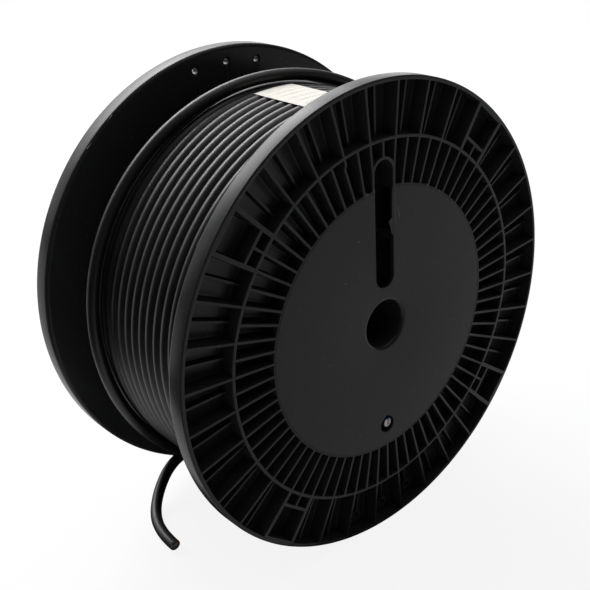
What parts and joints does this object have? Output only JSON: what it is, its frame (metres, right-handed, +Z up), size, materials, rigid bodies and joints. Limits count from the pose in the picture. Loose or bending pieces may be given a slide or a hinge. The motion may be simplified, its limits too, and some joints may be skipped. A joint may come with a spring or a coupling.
{
  "type": "plastic cable drum",
  "caption": "Moulded plastic drum with ribbed round flanges and a hollow barrel, wound nearly full with flexible black cable whose free end lies on the ground.",
  "frame": {"origin": "on the ground, midway between the two outer faces of the drum and under its axle", "axes": "+Z up, +Y along the axle from the flange whose slot is upright to the other flange, +X to the right when facing the first flange"},
  "size_m": [0.4, 0.206, 0.4],
  "materials": {
    "drum_plastic": "satin black injection-moulded plastic",
    "cable_jacket": "smooth black flexible cable jacket with a soft sheen",
    "label_paper": "plain cream paper label, bare"
  },
  "bodies": {
    "root": {"flange_front": "drum_plastic", "flange_back": "drum_plastic", "barrel": "drum_plastic", "cable_winding": "cable_jacket", "cable_last_turn": "cable_jacket", "cable_tail": "cable_jacket", "coil_label": "label_paper"}
  },
  "joints": []
}
